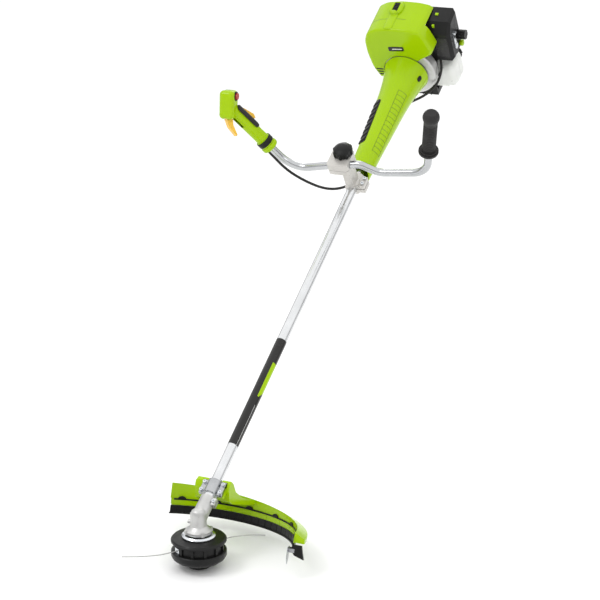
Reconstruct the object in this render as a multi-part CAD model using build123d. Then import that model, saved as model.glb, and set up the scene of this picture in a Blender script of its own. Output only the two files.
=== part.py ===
from build123d import *
import os
from math import pi, radians, tan

os.makedirs("parts", exist_ok=True)

# Petrol string trimmer with a bull-horn handlebar, standing with its head flat on the ground.
# Millimetres, +Z up. The origin is where the bump knob touches the ground, on the head's axis.
# Everything on the shaft is drawn in the shaft's own frame, with X across, Y along the shaft
# from the head to the engine and Z square to it, and is tilted into place by TOOL.

SHAFT_TILT = 33.0
CROSSING_Z = 117.0
TUBE_R = 13.0
TUBE_BORE_R = 11.5
DRIVE_R = 4.0
TUBE_START = 34.0
TUBE_END = 1438.0
RUNNING = 0.05

HEAD_R = 64.0
DRUM_R = 54.0
KNOB_R = 31.0
DISH_R = 39.0
LINE_R = 1.2
EYELET_AZ = 237.0

GUARD_TILT = 13.5
GUARD_ROLL = 2.0
GUARD_CENTRE = (8.0, 0.0, 78.0)
GUARD_R = 212.0
GUARD_OUTER_R = 239.0
GUARD_FROM = 11.0
GUARD_TO = 141.0
GUARD_WALL = 3.0
GUARD_LEFT = 161.0
LIP_TOP = 19.7
NECK_LEFT = 50.0
NECK_RIGHT = 38.0

BAR_S = 1040.0
BAR_R = 10.0
CLAMP_X = -3.0
STUD_S = 1063.0

DRUM_FACE = 1456.0
FAN_FACE = 1494.0
FAN_END = 1522.0
FAN_R = 80.0
CRANK_S = 1552.0
CRANK_THROW = 16.0
BORE_R = 20.0
ROD_LENGTH = 62.0

HEAD = Pos(0, 0, 8)
TOOL = Pos(0, 0, CROSSING_Z) * Rot(SHAFT_TILT, 0, 0)
GUARD = Pos(*GUARD_CENTRE) * Rot(-GUARD_TILT, 0, 0) * Rot(0, GUARD_ROLL, 0)

nodes = {}


def face(points, plane):
    return plane * make_face(Polyline(points, close=True))


def turned_z(points):
    """A solid turned about Z from (radius, height) points."""
    return revolve(face(points, Plane.XZ), Axis.Z)


def turned_s(points):
    """A solid turned about the shaft's line from (radius, station) points."""
    return revolve(face(points, Plane.XY), Axis.Y)


def box(x, y, z):
    """A block between the two limits given for each axis."""
    size = [high - low for low, high in (x, y, z)]
    middle = [(high + low) / 2 for low, high in (x, y, z)]
    return Pos(*middle) * Box(*size)


def rod_z(radius, z, x=0.0, y=0.0):
    return Pos(x, y, (z[0] + z[1]) / 2) * Cylinder(radius, z[1] - z[0])


def rod_s(radius, s, x=0.0, n=0.0):
    return Pos(x, (s[0] + s[1]) / 2, n) * Rot(90, 0, 0) * Cylinder(radius, s[1] - s[0])


def rod_x(radius, x, s=0.0, n=0.0):
    return Pos((x[0] + x[1]) / 2, s, n) * Rot(0, 90, 0) * Cylinder(radius, x[1] - x[0])


def ring_s(outer, inner, s):
    return rod_s(outer, s) - rod_s(inner, s)


def ring_z(outer, inner, z):
    return rod_z(outer, z) - rod_z(inner, z)


def prism_s(points, s):
    """An outline of (x, n) points drawn out along the shaft."""
    plane = Plane(origin=(0, s[0], 0), x_dir=(1, 0, 0), z_dir=(0, -1, 0))
    return extrude(face(points, plane), -(s[1] - s[0]))


def prism_x(points, x):
    """An outline of (s, n) points drawn out across the shaft."""
    plane = Plane(origin=(x[0], 0, 0), x_dir=(0, 1, 0), z_dir=(1, 0, 0))
    return extrude(face(points, plane), x[1] - x[0])


def solids(*shapes):
    """Several separate solids kept apart in one node."""
    found = []
    for shape in shapes:
        found += list(shape.solids())
    return Compound(children=found)


def cord_radii(points, share=0.45):
    """Arc radii as large as the runs beside each corner allow."""
    route = [Vector(*point) for point in points]
    radii = []
    for before, corner, after in zip(route, route[1:], route[2:]):
        turn = radians((corner - before).get_angle(after - corner))
        run = min((corner - before).length, (after - corner).length)
        radii.append(share * run / tan(turn / 2))
    return radii


def tube_along(points, radius, radii):
    path = FilletPolyline(*[Vector(*point) for point in points], radius=radii)
    start = Plane(origin=path @ 0, z_dir=path % 0)
    return sweep(start * Circle(radius), path), path


def cord(name, points, radius, place):
    radii = cord_radii(points)
    tube, path = tube_along(points, radius, radii)
    expected = pi * radius ** 2 * path.length
    print(name, "arc radii", [round(r, 1) for r in radii], "length", round(path.length, 1),
          "volume ratio", round(tube.volume / expected, 4))
    nodes[name] = place * tube


def cap_screw(length, radius=2.5):
    """A socket-head screw, head up, its shank ending at -length."""
    head = rod_z(radius * 1.7, (0, radius * 2)) - rod_z(radius * 0.85, (radius, radius * 3))
    return head + rod_z(radius, (-length, 0))


# Cutting head: housing, cover, eyelets, dish, spool, knob and the two lines.

def cutting_head():
    housing = turned_z([(9, 60), (48, 60), (48, 36), (DRUM_R, 36), (DRUM_R, 57), (HEAD_R - 1, 57),
                        (HEAD_R, 58), (HEAD_R, 62), (HEAD_R - 3, 65), (42, 67), (9, 67)])
    housing += turned_z([(5, 37), (9, 37), (9, 67), (5, 67)])
    rib = box((DRUM_R - 2, DRUM_R + 4), (-3, 3), (36, 58))
    for step in range(12):
        angle = EYELET_AZ + 15 + 30 * step
        housing += Rot(0, 0, angle) * rib
    window = box((40, DRUM_R + 10), (-9, 9), (36, 50))
    eyelets = []
    for side in (0, 180):
        turn = Rot(0, 0, EYELET_AZ + side)
        housing -= turn * window
        eyelet = box((46, DRUM_R + 3), (-8.8, 8.8), (36.2, 49.8))
        eyelet -= rod_x(LINE_R + 1.3, (40, 70), 0, 44)
        eyelets.append(turn * eyelet)
    nodes["head_housing"] = HEAD * housing
    nodes["line_eyelets"] = HEAD * solids(*eyelets)
    cover = turned_z([(KNOB_R + 0.6, 6), (42, 7.5), (53, 11.5), (61, 18), (HEAD_R, 24), (HEAD_R, 34),
                      (HEAD_R - 2, 36), (47, 36), (47, 28), (44, 19), (KNOB_R + 0.6, 15)])
    nodes["head_cover"] = HEAD * cover
    nodes["bump_knob"] = HEAD * turned_z([(0, -8), (17, -8), (26, -5.5), (KNOB_R - 1, -1),
                                          (KNOB_R, 4), (KNOB_R, 16), (14, 22), (14, 30), (0, 30)])
    spool = turned_z([(14, 22.5), (44, 22.5), (44, 25), (22, 25), (22, 46), (44, 46), (44, 48.5),
                      (9.5, 48.5), (9.5, 30), (14, 30)])
    winding = turned_z([(22, 25.2), (40, 25.2), (40, 45.8), (22, 45.8)])
    nodes["line_spool"] = HEAD * (spool + winding)
    dish = turned_z([(5.05, 67.2), (15, 67.2), (15, 72), (DISH_R - 5, 72), (DISH_R, 69),
                     (DISH_R, 71), (DISH_R - 4, 74.5), (5.05, 74.5)])
    nodes["head_dish"] = HEAD * dish


LINE_ROUTES = {
    "line_left": [(-26, -40, 52), (-38, -58.5, 52), (-53, -80, 52), (-75, -98, 52),
                  (-101, -112, 51.2), (-132, -123.5, 50)],
    "line_right": [(26, 40, 52), (37, 57.5, 52), (50, 76, 52), (67, 93, 51.5), (88, 108, 50.5),
                   (111, 120, 49)]}


def head_lines():
    """The two nylon lines, each from its eyelet out to its free end."""
    for name, route in LINE_ROUTES.items():
        cord(name, route, LINE_R, Pos(0, 0, 0))


# Gear case: the angled bevel drive between the drive shaft and the head.

WHEEL_TEETH = 19
PINION_TEETH = 14
WHEEL_R = 12.5


def bevel(outer, back, teeth, slant):
    """A bevel wheel about Z, its toothed face down to z = 0 and its back at z = back."""
    inner = outer * 0.55
    wheel = turned_z([(0, slant), (inner, slant), (outer, 0), (outer + 1, back * 0.4),
                      (outer * 0.8, back), (0, back)])
    gash = Pos(outer * 0.85, 0, 0) * Box(outer * 0.6, outer * 0.16, 2.2)
    for tooth in range(teeth):
        wheel -= Rot(0, 0, 360 / teeth * tooth) * gash
    return wheel


def gearbox():
    body = turned_z([(0, 77), (30, 77), (31, 80), (31, 84), (25, 88), (19, 94), (18, 122),
                     (15.5, 130), (10, 134), (0, 135)])
    for corner in range(4):
        body += Rot(0, 0, 45 + 90 * corner) * rod_z(5, (77, 86), 29)
    for rib in (-60, 60, 180):
        body += Rot(0, 0, rib) * box((16, 20.5), (-1.5, 1.5), (84, 122))
    body += rod_x(5, (-26, -14), 0, 100)
    socket = turned_s([(0, 0), (18, 0), (18, 36), (17.5, 38), (17.5, 60), (0, 60)])
    case = HEAD * body + TOOL * (socket + box((12, 25), (40, 58), (-7, 7)))
    case -= HEAD * (rod_z(11, (70, 96)) + rod_z(14.4, (95.9, 118)))
    case -= TOOL * (rod_s(TUBE_R, (TUBE_START - 1, 80)) + rod_s(11, (8, TUBE_START)))
    case -= TOOL * box((12, 30), (38, 61), (-1, 1))
    nodes["gear_case"] = case
    wheel = Pos(0, 0, CROSSING_Z - 3.6) * Rot(180, 0, 0) * bevel(WHEEL_R, 7, WHEEL_TEETH, 1.8)
    nodes["output_shaft"] = rod_z(5, (48, CROSSING_Z - 4)) + wheel
    pinion = Pos(0, 9.4, 0) * Rot(-90, 0, 0) * bevel(WHEEL_R * 0.72, 6, PINION_TEETH, 2.5)
    nodes["drive_pinion"] = TOOL * (pinion + rod_s(5, (14, 46)))
    nodes["drive_shaft"] = TOOL * rod_s(DRIVE_R, (46, 1446))


def shaft_assembly():
    nodes["shaft_tube"] = TOOL * ring_s(TUBE_R, TUBE_BORE_R, (TUBE_START, TUBE_END))
    bushes = [ring_s(TUBE_BORE_R, DRIVE_R + RUNNING, (s, s + 30)) for s in range(160, 1400, 240)]
    nodes["shaft_bushes"] = TOOL * solids(*bushes)
    lower = HEAD * ring_z(11, 5 + RUNNING, (79, 86))
    upper = HEAD * ring_z(11, 5 + RUNNING, (87, 94))
    tool_bearings = [ring_s(11, 5 + RUNNING, (23, 32)), ring_s(16, 8 + RUNNING, (1442, 1453)),
                     ring_s(17.5, 7.5 + RUNNING, (CRANK_S - 22, CRANK_S - 12)),
                     ring_s(17.5, 7.5 + RUNNING, (CRANK_S + 12, CRANK_S + 22))]
    nodes["ball_bearings"] = solids(lower, upper, TOOL * solids(*tool_bearings))


# Guard: a curved channel behind the head, its extension, lip, line cutter and clamp.
# Angles are counted from +X in the guard's own tilted frame.

def sector(inner, outer, z, start=GUARD_FROM, end=GUARD_TO):
    profile = [(inner, z[0]), (outer, z[0]), (outer, z[1]), (inner, z[1])]
    return Rot(0, 0, start) * revolve(face(profile, Plane.XZ), Axis.Z, end - start)


def roof(drop):
    """Everything under the guard's sloping top, which falls outwards and towards +X."""
    top = 62.0 - drop
    slope = 20.0 / 48.0
    reach = 330.0
    low = top - slope * (reach - GUARD_R)
    cone = Pos(0, 0, low) * Cone(reach, 0.01, slope * reach, align=(Align.CENTER,) * 2 + (Align.MIN,))
    base = Pos(0, 0, low) * Cylinder(reach, 120, align=(Align.CENTER,) * 2 + (Align.MAX,))
    return Rot(0, 5.0, 0) * (cone + base)


def guard_neck(wall):
    """The raised saddle that carries the channel on the shaft, or its hollow, in the world frame."""
    outline = [(208, 77), (98, 122), (82, 134), (80, 160), (86, 176), (96, 179), (106, 168),
               (116, 146), (150, 118), (226, 80)]
    if wall:
        outline = [(208, 57), (98, 110), (84, 128), (80 + wall, 158), (89, 176 - wall),
                   (95, 178 - wall), (103, 167 - wall), (114, 145 - wall), (150, 118 - wall),
                   (226, 80 - wall)]
    return prism_x(outline, (wall - NECK_LEFT, NECK_RIGHT - wall))


def guard():
    ring = sector(GUARD_R + 2, GUARD_OUTER_R, (22, 110)) & roof(0)
    ring -= sector(GUARD_R - 5, GUARD_R + 5, (0, 36))
    inner = sector(GUARD_R + 5, GUARD_OUTER_R - 3, (-10, 110), GUARD_FROM + 0.8, GUARD_TO + 5)
    kept = box((-GUARD_LEFT, 400), (-400, 400), (-200, 400))
    end_wall = ring & box((-GUARD_LEFT, GUARD_WALL - GUARD_LEFT), (-400, 400), (-200, 400))
    shell = GUARD * (((ring - (inner & roof(GUARD_WALL))) & kept) + end_wall)
    neck = fillet(guard_neck(0).edges().filter_by(Plane.YZ).group_by(Axis.Z)[-1], 4)
    neck -= guard_neck(GUARD_WALL)
    neck -= GUARD * sector(GUARD_R + 4.9, GUARD_OUTER_R + 90, (-60, 160), 50, 130)
    neck -= GUARD * sector(GUARD_R - 8, GUARD_R + 20, (-60, 36), 50, 130)
    groove = rod_s(15.5, (40, 260)) + box((-15.5, 15.5), (40, 260), (0, 60))
    groove += box((-31.5, 31.5), (40, 108), (-5.2, 60)) + rod_s(18.5, (40, 108))
    pad = box((-31, 31), (70, 112), (-13, -5.2)) + box((-31, 31), (92, 112), (-30, -6))
    pad = TOOL * (pad - rod_s(18.5, (60, 108)) - rod_s(15.5, (60, 130)))
    nodes["guard_shell"] = shell + (neck - TOOL * groove) + (pad - guard_neck(GUARD_WALL))
    band = sector(GUARD_R + 0.5, GUARD_R + 4.5, (LIP_TOP + 0.3, 35.6), GUARD_FROM + 1)
    band += sector(GUARD_R + 4, GUARD_R + 7.5, (31, 35.6), GUARD_FROM + 1.2)
    band += sector(GUARD_R + 5.4, GUARD_R + 7.5, (31, 46), GUARD_FROM + 1.2) & roof(GUARD_WALL + 0.4)
    tick = box((GUARD_R - 2, GUARD_R + 1.2), (-0.6, 0.6), (LIP_TOP, 32))
    for step in range(9):
        band -= Rot(0, 0, 20 + 13 * step) * tick
    kept_inside = box((-GUARD_LEFT + GUARD_WALL + 0.3, 400), (-400, 400), (-200, 400))
    nodes["guard_extension"] = GUARD * (band & kept_inside)
    lip = sector(GUARD_R - 1.5, GUARD_R + 3, (0, LIP_TOP), GUARD_FROM + 1)
    lip += sector(GUARD_R - 4, GUARD_R + 3, (0, 3), GUARD_FROM + 1)
    notch = box((GUARD_R - 3, GUARD_R - 0.5), (-0.7, 0.7), (4, LIP_TOP + 1))
    for step in range(22):
        lip -= Rot(0, 0, 16 + 5.6 * step) * notch
    turn = Rot(0, 0, GUARD_FROM)
    wedge = [(GUARD_R - 5, 11), (GUARD_R + 8, -6), (GUARD_OUTER_R + 4, -13), (GUARD_OUTER_R - 1, 4),
             (GUARD_OUTER_R - 4, 18), (GUARD_R + 5, 18), (GUARD_R - 1, 11.7)]
    bracket = turn * (prism_s(wedge, (-7, -0.3)) + box((GUARD_R - 1, GUARD_R + 3), (-1, 6), (0, 11.7)))
    nodes["guard_lip"] = GUARD * ((lip & kept_inside) + bracket)
    blade = prism_x([(-19, 13), (-1, 13), (-1, -16), (-8, -28), (-19, -14)],
                    (GUARD_R - 6.8, GUARD_R - 5.3))
    nodes["line_cutter"] = GUARD * turn * (blade + box((GUARD_R - 6, GUARD_R + 8), (-9.1, -7.3), (0, 9)))
    strap = ring_s(TUBE_R + 4, TUBE_R, (70, 106))
    for low, high in ((-5, -1.2), (-0.8, 3)):
        for side in (-1, 1):
            near, far = sorted((side * (TUBE_R + 1), side * 29))
            strap += box((near, far), (70, 106), (low, high))
    nodes["guard_clamp"] = TOOL * strap


# Handlebar, its clamp, the right-hand throttle handle and the left-hand grip.

HANDLE_LEAN = 31.5
TRIGGER_TURN = -20.0
GRIP_LEAN = 14.0
HANDLE_JOINT = (-191.0, BAR_S, 136.0)
GRIP_JOINT = (247.5, BAR_S, 180.0)
BAR_ROUTE = [(-242.2, 219.6), (-148, 65.8), (-39, 92), (50, 108), (95, 84), (229, 103),
             (277.8, 298)]
BAR_RADII = [70, 60, 30, 60, 58]

HANDLE = TOOL * Pos(*HANDLE_JOINT) * Rot(0, -HANDLE_LEAN, 0) * Rot(0, 0, TRIGGER_TURN)
GRIP = TOOL * Pos(*GRIP_JOINT) * Rot(0, GRIP_LEAN, 0)


def bar_tube(radius):
    points = [(x, BAR_S, n) for x, n in BAR_ROUTE]
    return tube_along(points, radius, BAR_RADII)[0]


BLOCK_X = (-36.0, 21.0)
BLOCK_S = (1018.0, 1080.0)
BAR_N = 97.0


def handlebar():
    nodes["handlebar"] = TOOL * (bar_tube(BAR_R) - bar_tube(BAR_R - 1.5))
    bar_room = TOOL * bar_tube(BAR_R + RUNNING)
    saddle = chamfer(box(BLOCK_X, BLOCK_S, (84, BAR_N - 0.5)).edges().filter_by(Axis.Z), 6)
    saddle += box((-11, 11), (1042, 1076), (12, 86))
    saddle += rod_s(TUBE_R + 8, (1052, 1092)) + box((8, 33), (1053, 1085), (-13, 13))
    saddle -= rod_s(TUBE_R, (1000, 1110)) + box((TUBE_R - 2, 40), (1010, 1095), (-1.2, 1.2))
    saddle -= rod_z(4 + RUNNING, (60, 120), CLAMP_X, STUD_S)
    nodes["bar_saddle"] = TOOL * saddle - bar_room
    cap = chamfer(box(BLOCK_X, BLOCK_S, (BAR_N + 0.5, 116)).edges().filter_by(Axis.Z), 6)
    cap += rod_z(16, (110, 118), CLAMP_X, STUD_S)
    cap -= rod_z(4 + RUNNING, (60, 130), CLAMP_X, STUD_S)
    nodes["bar_cap"] = TOOL * cap - bar_room
    knob = rod_z(23, (118.4, 140))
    for step in range(8):
        knob += Rot(0, 0, 45 * step) * rod_z(4, (118.4, 140), 22.5)
    knob = knob & (Pos(0, 0, 104) * Sphere(38))
    knob += rod_z(4, (78, 120))
    nodes["clamp_knob"] = TOOL * Pos(CLAMP_X, STUD_S, 0) * knob


def left_grip():
    grip = rod_z(17.5, (6, 128)) + rod_z(25, (0, 6)) + rod_z(22, (6, 11)) + Pos(0, 0, 124) * Sphere(21)
    grip &= rod_z(26, (0, 141))
    for step in range(15):
        grip -= ring_z(18.5, 16.7, (16 + 6 * step, 18 + 6 * step))
    nodes["left_grip"] = GRIP * grip - TOOL * bar_tube(BAR_R)


BLOCK_PLACE = Pos(-274, BAR_S, 279) * Rot(-37, 0, 0) * Rot(0, 0, 2)
TRIGGER_PIVOT = (-8.0, 156.0)
LOCKOUT_PIVOT = (12.0, 130.0)


def handle_outline(inset):
    """The throttle handle's outer form in the shaft's frame, shrunk by inset."""
    grip_part = rod_z(17 - inset, (12, 158)) + rod_z(20 - inset, (2 + inset, 34 - inset))
    block = Box(40 - 2 * inset, 40 - 2 * inset, 73 - 2 * inset)
    block = BLOCK_PLACE * fillet(block.edges(), 11 - inset)
    return Pos(*HANDLE_JOINT) * Rot(0, -HANDLE_LEAN, 0) * grip_part + block


def throttle_handle():
    in_tool = Pos(*HANDLE_JOINT) * Rot(0, -HANDLE_LEAN, 0) * Rot(0, 0, TRIGGER_TURN)
    bar_room = bar_tube(BAR_R)
    body = handle_outline(0) - handle_outline(2.5)
    slots = box((-7.5, 7.5), (-60, -8), (96, 152)) + box((-5, 5), (8, 40), (75, 137))
    body -= in_tool * slots
    switch = BLOCK_PLACE * Pos(0, 2, 22) * Rot(0, 90, 0)
    body -= switch * rod_z(9, (10, 30))
    pins = [rod_x(1.5, (-10, 10), *TRIGGER_PIVOT), rod_x(1.5, (-13, 13), *LOCKOUT_PIVOT)]
    posts = [rod_x(4, (-18, -6.8), *TRIGGER_PIVOT), rod_x(4, (-14, -4.3), *LOCKOUT_PIVOT)]
    halves = {}
    for name, side in (("outer", -1), ("inner", 1)):
        low, high = sorted((0.0, side * 120.0))
        halves[name] = body & (in_tool * box((low, high), (-120, 120), (-10, 260)))
    posts_inside = (in_tool * (posts[0] + posts[1])) & handle_outline(1)
    pins_inside = in_tool * (pins[0] + pins[1])
    inner = halves["inner"] - pins_inside - bar_room
    outer = halves["outer"] + posts_inside + pins_inside - bar_room
    nodes["throttle_housing_inner"] = TOOL * inner
    nodes["throttle_housing_outer"] = TOOL * outer
    y, z = TRIGGER_PIVOT
    blade = prism_x([(y - 6, z), (y, z + 6), (y + 6, z - 2), (y - 4, z - 16), (y - 22, z - 32),
                     (y - 34, z - 58), (y - 38, z - 58), (y - 34, z - 28), (y - 22, z - 6)], (-6.5, 6.5))
    blade += rod_x(6, (-6.5, 6.5), y, z)
    nodes["throttle_trigger"] = HANDLE * (blade - rod_x(1.5 + RUNNING, (-9, 9), y, z))
    y, z = LOCKOUT_PIVOT
    lever = prism_x([(y - 2, z), (y + 2, z + 4), (y + 11, z - 2), (y + 19, z - 34), (y + 15, z - 44),
                     (y + 8, z - 42), (y + 2, z - 10)], (-4, 4)) + rod_x(4, (-4, 4), y, z)
    nodes["lockout_lever"] = HANDLE * (lever - rod_x(1.5 + RUNNING, (-9, 9), y, z))
    nodes["stop_switch"] = TOOL * switch * rod_z(8.6, (14, 24))


# Engine end: front cover, clutch, fan housing, crankcase and cylinder.

COVER_PROFILE = [(29, 1076), (34, 1200), (39, 1300), (46, 1400), (54, 1452), (62, 1486)]
COVER_WALL = 2.5
CABLE_R = 3.5
CABLE_ROUTE = [(-207, 1040, 128), (-196, 1042, 101), (-174, 1050, 45), (-138, 1058, 3),
               (-98, 1066, -27), (-64, 1077, -38), (-30, 1092, -33), (-10, 1113, -21),
               (-1, 1150, -18.5), (3, 1200, -19), (7, 1260, -20), (12, 1320, -22),
               (16, 1375, -27), (22, 1422, -43), (48, 1458, -53), (76, 1488, -42),
               (88, 1512, -18), (88, 1532, 4), (80, 1545, 20), (75, 1551, 35), (74, 1552, 51.2)]


def front_cover():
    outside = Spline(*[Vector(r, s, 0) for r, s in COVER_PROFILE])
    inside = Spline(*[Vector(r - COVER_WALL, s, 0) for r, s in COVER_PROFILE])
    first, last = COVER_PROFILE[0], COVER_PROFILE[-1]
    edges = [outside, Line((last[0], last[1], 0), (last[0] - COVER_WALL, last[1], 0)), inside,
             Line((first[0] - COVER_WALL, first[1], 0), (first[0], first[1], 0))]
    shell = revolve(make_face(edges), Axis.Y)
    mouth = Pos(0, 1096, 0) * Rot(-33, 0, 0) * Pos(0, -100, 0) * Box(200, 200, 200)
    shell -= mouth
    route_room = tube_along(CABLE_ROUTE, CABLE_R + 1.5, cord_radii(CABLE_ROUTE))[0]
    nodes["front_cover"] = TOOL * (shell - route_room)


def clutch_housing():
    shell = turned_s([(19, 1410), (21, 1414), (21, 1438), (30, 1446), (46, DRUM_FACE), (46, 1488),
                      (FAN_R - 4, FAN_FACE), (FAN_R, FAN_FACE + 4), (FAN_R, FAN_END),
                      (FAN_R - 3, FAN_END), (FAN_R - 3, FAN_FACE + 6), (FAN_R - 6, FAN_FACE + 3),
                      (42.5, 1491), (42.5, DRUM_FACE + 2), (27, 1454), (TUBE_R, 1454),
                      (TUBE_R, 1410)])
    shell -= rod_s(16, (1440, 1460))
    shell -= box((-46, 46), (FAN_FACE + 6, FAN_END + 1), (46, 100))
    nodes["clutch_housing"] = TOOL * shell
    drum = turned_s([(5.3, 1446.2), (8, 1446.2), (8, 1459), (39, 1459), (39, 1484), (36.5, 1484),
                     (36.5, 1462), (0, 1462), (0, 1446.2)])
    nodes["clutch_drum"] = TOOL * drum


def crank_train():
    shoe = turned_s([(13, 1465), (35.5, 1465), (35.5, 1480), (13, 1480)])
    gap = box((-4, 4), (1460, 1485), (-40, 40))
    shoes = (shoe - gap) - box((-40, 40), (1460, 1485), (-2, 2))
    bolts = rod_s(4, (1462.5, 1498), 22, 12) + rod_s(4, (1462.5, 1498), -22, -12)
    nodes["clutch_shoes"] = TOOL * solids(shoes - bolts, bolts)
    flywheel = ring_s(58, 7.5, (1498, 1505)) + ring_s(16, 7.5, (1488, 1518))
    for blade in range(16):
        flywheel += Rot(0, 22.5 * blade, 0) * box((30, 57), (1504, 1517), (-1.2, 1.2))
    flywheel -= bolts
    nodes["flywheel"] = TOOL * flywheel
    front = rod_s(7.5, (1484, CRANK_S - 9)) + rod_s(26, (CRANK_S - 9.5, CRANK_S - 3.8))
    rear = rod_s(7.5, (CRANK_S + 9, 1606)) + rod_s(26, (CRANK_S + 3.8, CRANK_S + 9.5))
    cup = ring_s(22, 19, (1596, 1606)) + ring_s(19.5, 7.5, (1596, 1599))
    nodes["crankshaft"] = TOOL * solids(front, rear, cup)
    pin_n = CRANK_THROW
    wrist = pin_n + ROD_LENGTH
    piston = rod_z(BORE_R - RUNNING, (wrist - 12, wrist + 14), 0, CRANK_S)
    piston -= rod_z(BORE_R - 3, (wrist - 20, wrist + 10), 0, CRANK_S)
    piston -= rod_s(4.5, (CRANK_S - 30, CRANK_S + 30), 0, wrist)
    wrist_pin = rod_s(4.5, (CRANK_S - 18, CRANK_S + 18), 0, wrist)
    rod = rod_s(9, (CRANK_S - 3.4, CRANK_S + 3.4), 0, pin_n)
    rod += box((-3.5, 3.5), (CRANK_S - 3, CRANK_S + 3), (pin_n, wrist))
    rod += rod_s(7, (CRANK_S - 3.4, CRANK_S + 3.4), 0, wrist)
    nodes["piston"] = TOOL * solids(piston, wrist_pin, rod - wrist_pin)


def crankcase():
    case = rod_s(44, (FAN_END, 1582)) + box((-34, 34), (1524, 1580), (-20, 46))
    for x in (-60, 60):
        case += box((min(x, 0), max(x, 0)), (FAN_END, FAN_END + 6), (-9, 9))
    case += box((-9, 9), (FAN_END, FAN_END + 6), (-78, 0))
    case -= rod_s(29, (CRANK_S - 11, CRANK_S + 11))
    case -= rod_s(17.5, (CRANK_S - 22, CRANK_S - 10)) + rod_s(17.5, (CRANK_S + 10, CRANK_S + 22))
    case -= rod_s(8.2, (FAN_END - 1, 1590))
    case -= rod_z(BORE_R + 1, (10, 60), 0, CRANK_S)
    nodes["crankcase"] = TOOL * case
    barrel = rod_z(26, (46, 108), 0, CRANK_S) + box((-34, 34), (1524, 1580), (46, 51))
    for step in range(8):
        low = 54 + 7 * step
        fin = box((-39, 39), (FAN_END + 1, 1582), (low, low + 2.2))
        barrel += fillet(fin.edges().filter_by(Axis.Z), 10)
    barrel += box((-8, 8), (CRANK_S - 24, CRANK_S + 24), (104, 112)) + rod_z(12, (104, 114), 0, CRANK_S)
    barrel += box((20, 45), (CRANK_S - 13, CRANK_S + 13), (56, 78))
    barrel += box((-48, -20), (CRANK_S - 14, CRANK_S + 14), (54, 80))
    barrel -= rod_z(BORE_R, (40, 101), 0, CRANK_S)
    barrel -= rod_x(8, (10, 60), CRANK_S, 67) + rod_x(9, (-60, -10), CRANK_S, 67)
    barrel -= rod_z(5, (100, 120), 0, CRANK_S)
    nodes["cylinder"] = TOOL * barrel
    plug = rod_z(5, (101, 116), 0, CRANK_S) + rod_z(10, (114, 121), 0, CRANK_S)
    plug += rod_z(5.5, (121, 137), 0, CRANK_S) + rod_z(1.2, (97, 101), 0, CRANK_S)
    nodes["spark_plug"] = TOOL * plug
    coil = box((-17, 17), (1500.4, 1513), (65, 79)) + rod_z(7, (79, 84), 8, 1506)
    lead_route = [(8, 1506, 84), (8, 1506, 112), (6, 1512, 136), (3, 1530, 143), (0, 1546, 143)]
    lead = tube_along(lead_route, 2.5, [7, 9, 9])[0]
    cap = rod_z(8, (124, 147), 0, CRANK_S) - rod_z(5.5, (123, 137), 0, CRANK_S)
    nodes["ignition_coil"] = TOOL * solids(coil + lead + cap)
    box_out = fillet(box((-95, -52), (1524, 1586), (42, 108)).edges(), 9)
    box_in = fillet(box((-93.5, -53.5), (1525.5, 1584.5), (43.5, 106.5)).edges(), 7.5)
    muffler = box_out - box_in + box((-53.5, -48), (CRANK_S - 14, CRANK_S + 14), (54, 80))
    muffler -= rod_x(9, (-60, -40), CRANK_S, 67) + rod_z(5, (36, 50), -80, 1570)
    nodes["muffler"] = TOOL * muffler


# The green shroud over the cylinder, open below, behind and on the filter's side.

SHROUD_FRONT = 1487.0
SHROUD_REAR = 1600.0
HUMP_X = -24.0
SHROUD_OUTLINE = [(-80, -22), (-96, 15), (-102, 65), (-101, 105), (-90, 134), (-62, 150),
                  (-20, 157), (28, 156), (60, 150), (75, 134), (91, 86), (84, 72), (46, 48),
                  (30, 24), (-42, -22)]
SHROUD_CORNERS = [6, 90, 90, 60, 36, 60, 120, 100, 22, 40, 9, 9, 20, 20, 12]


def shroud_block(inset):
    """The shroud's outer block, or its inner space when inset is the wall's thickness."""
    plane = Plane(origin=(0, SHROUD_FRONT + inset, 0), x_dir=(1, 0, 0), z_dir=(0, -1, 0))
    outline = plane * make_face(FilletPolyline(*SHROUD_OUTLINE, radius=SHROUD_CORNERS, close=True))
    if inset:
        outline = offset(outline, -inset)
    return extrude(outline, -(SHROUD_REAR - SHROUD_FRONT - 2 * inset))


def engine_shroud():
    block = shroud_block(0)
    front = [edge for edge in block.edges() if abs(edge.center().Y - SHROUD_FRONT) < 0.01
             and (edge.center().Z > 75 or edge.center().X < -90)]
    rear = [edge for edge in block.edges() if abs(edge.center().Y - SHROUD_REAR) < 0.01
            and edge.center().Z > 60 and edge.center().X < 50]
    block = fillet(front, 8)
    hump = Pos(HUMP_X, 1569, 140) * extrude(SlotOverall(50, 38, rotation=90), 25)
    block += fillet(hump.faces().sort_by(Axis.Z)[-1].edges(), 7)
    shell = block - shroud_block(COVER_WALL)
    shell -= box((58, 120), (1529, 1640), (0, 142))
    below = [(-110, -60), (-77, -19), (-42, -19), (27, 27), (43, 51), (80, 75), (120, 84),
             (120, -60)]
    shell -= prism_s(below, (SHROUD_FRONT + 3, 1640))
    shell -= box((-95, 70), (1590, 1610), (-40, 128))
    shell -= rod_s(63.5, (1400, 1500)) + rod_s(FAN_R + 1.5, (1490.2, FAN_END + 1.5))
    for slot in range(3):
        shell -= box((-98, -74), (1480, 1492), (-10 + 9 * slot, -6 + 9 * slot))
    shell -= box((HUMP_X - 8, HUMP_X + 8), (1553, 1586), (150, 170))
    nodes["engine_shroud"] = TOOL * shell.solids().sort_by(SortBy.VOLUME)[-1]


# Carburettor side, fuel tank, stand and recoil starter.

BULB_S = 1583.0
BULB_N = 6.0


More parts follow.
